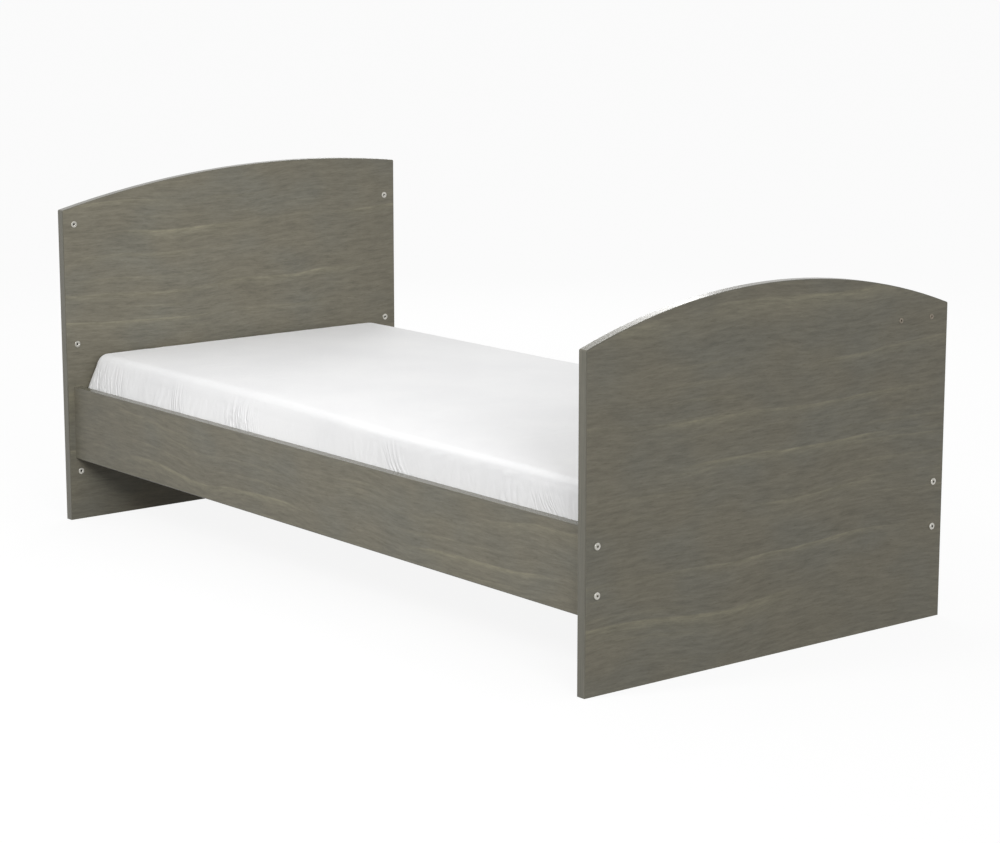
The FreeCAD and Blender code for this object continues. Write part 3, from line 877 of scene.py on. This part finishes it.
def addFittedSheet():
    points, normals, unrolled, quads = padSurface(padFacts, 0.0, fittedFacts["cells"], True)
    relief, slack, hold = sheetRelief(unrolled, points, fittedFacts, padFacts)
    lean = leanIn(points, padFacts)
    points[:, 2] += crownRise(points, padFacts)
    points = points + normals * relief[:, None] + lean
    piece = buildMesh("fitted_cotton_sheet", points, quads, unrolled, sheetFinish("whiteCotton", sheetFacts, padFacts),
                      {"slack": slack, "hold": hold})
    carried = [readCarried(piece, name) for name in ("slack", "hold")]
    settleSheet(piece, *carried, fittedFacts)
    addModifier(piece, "cloth thickness", "SOLIDIFY", thickness=fittedFacts["cloth"], offset=-1.0)
    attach(piece, "mattress")
    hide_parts("fitted_sheet")
    return piece


# the elastic in the sheet's edge: a flat oval, gathered in small waves

hemFacts = {"wide": 0.0078, "thick": 0.0011, "gather": 0.0008, "pitch": 0.011, "around": 10, "cells": (640, 240, 34)}


def addHem():
    low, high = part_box("sheet_elastic")
    reach = padFacts["tuck"]
    corner = padFacts["corner"]
    centres, outward = walkRound(padFacts["length"] - 2 * reach, padFacts["width"] - 2 * reach, corner, hemFacts["cells"])
    middle = centres + outward * (corner - hemFacts["wide"] / 2)
    along = np.concatenate([[0], np.cumsum(np.linalg.norm(np.diff(middle, axis=0), axis=1))])
    waves = round((along[-1]) / hemFacts["pitch"])
    wave = np.sin(np.arange(len(along)) / len(along) * 2 * math.pi * waves)
    turn = np.linspace(0, 2 * math.pi, hemFacts["around"], endpoint=False)
    sideways = (hemFacts["wide"] / 2 - 0.0006) * np.cos(turn)[None] + hemFacts["gather"] * wave[:, None]
    upward = hemFacts["thick"] / 2 * np.sin(turn)[None] * (1 + 0.12 * wave[:, None])
    plan = middle[:, None] + outward[:, None] * sideways[:, :, None]
    points = np.concatenate([plan, ((low.z + high.z) / 2 + 0.0002 + upward)[:, :, None]], axis=2)
    unrolled = np.stack([np.broadcast_to(along[:, None], upward.shape), np.broadcast_to(turn[None] * 0.003, upward.shape)], axis=-1)
    rows, columns = upward.shape
    index = np.arange(rows * columns).reshape(rows, columns)
    following, beside = np.roll(index, -1, axis=0), np.roll(index, -1, axis=1)
    quads = np.stack([index, beside, np.roll(following, -1, axis=1), following], axis=-1).reshape(-1, 4)
    piece = buildMesh("gathered_elastic", points.reshape(-1, 3), quads, unrolled.reshape(-1, 2), tapeFinish("elasticTape", tapeFacts["elastic"]))
    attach(piece, "mattress")
    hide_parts("sheet_elastic")
    return piece


fittedSheet = addFittedSheet()
hem = addHem()
print("fitted sheet and its elastic made")


# ribbons under the slats

ribbonFacts = {"sag": 0.0012, "around": 12, "step": 0.004}


def addRibbon(side):
    # a flat oval section carried along the slats; it sags where nothing is above it
    low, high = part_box("slat_ribbon_" + side)
    stations = int((high.x - low.x) / ribbonFacts["step"])
    x = np.linspace(low.x, high.x, stations)
    phase = ((x - slatLow[0].x) / slatPitch) % 1.0
    wide = (slatLow[1].x - slatLow[0].x) / slatPitch
    gap = np.clip((phase - wide) / (1 - wide), 0, 1)
    drop = ribbonFacts["sag"] * np.sin(gap * math.pi) ** 2
    turn = np.linspace(0, 2 * math.pi, ribbonFacts["around"], endpoint=False)
    across = (high.y - low.y) / 2 * np.sign(np.cos(turn)) * np.abs(np.cos(turn)) ** 0.35
    upward = (high.z - low.z) / 2 * np.sign(np.sin(turn)) * np.abs(np.sin(turn)) ** 0.6
    grid = np.stack(np.broadcast_arrays(x[:, None], (low.y + high.y) / 2 + across[None],
                                        ((low.z + high.z) / 2 - drop)[:, None] + upward[None]), axis=-1)
    unrolled = np.stack(np.broadcast_arrays(x[:, None], across[None]), axis=-1)
    quads = gridQuads(*grid.shape[:2], 0, True).tolist()
    ends = [list(range(ribbonFacts["around"])), list(range(grid.size // 3 - ribbonFacts["around"], grid.size // 3))]
    mesh = bpy.data.meshes.new("webbing_" + side)
    mesh.from_pydata(grid.reshape(-1, 3).tolist(), [], quads + ends)
    layer = mesh.uv_layers.new(name="unrolled")
    loops = np.empty(len(mesh.loops), int)
    mesh.loops.foreach_get("vertex_index", loops)
    layer.data.foreach_set("uv", unrolled.reshape(-1, 2)[loops].ravel())
    shell = bmesh.new()
    shell.from_mesh(mesh)
    bmesh.ops.recalc_face_normals(shell, faces=shell.faces)
    shell.to_mesh(mesh)
    shell.free()
    mesh.shade_smooth()
    mesh.materials.append(tapeFinish("webbingTape_" + side, tapeFacts["webbing"]))
    piece = bpy.data.objects.new("webbing_" + side, mesh)
    bpy.context.scene.collection.objects.link(piece)
    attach(piece, "frame")
    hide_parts("slat_ribbon_" + side)


for side in ("left", "right"):
    addRibbon(side)
print("ribbons made")
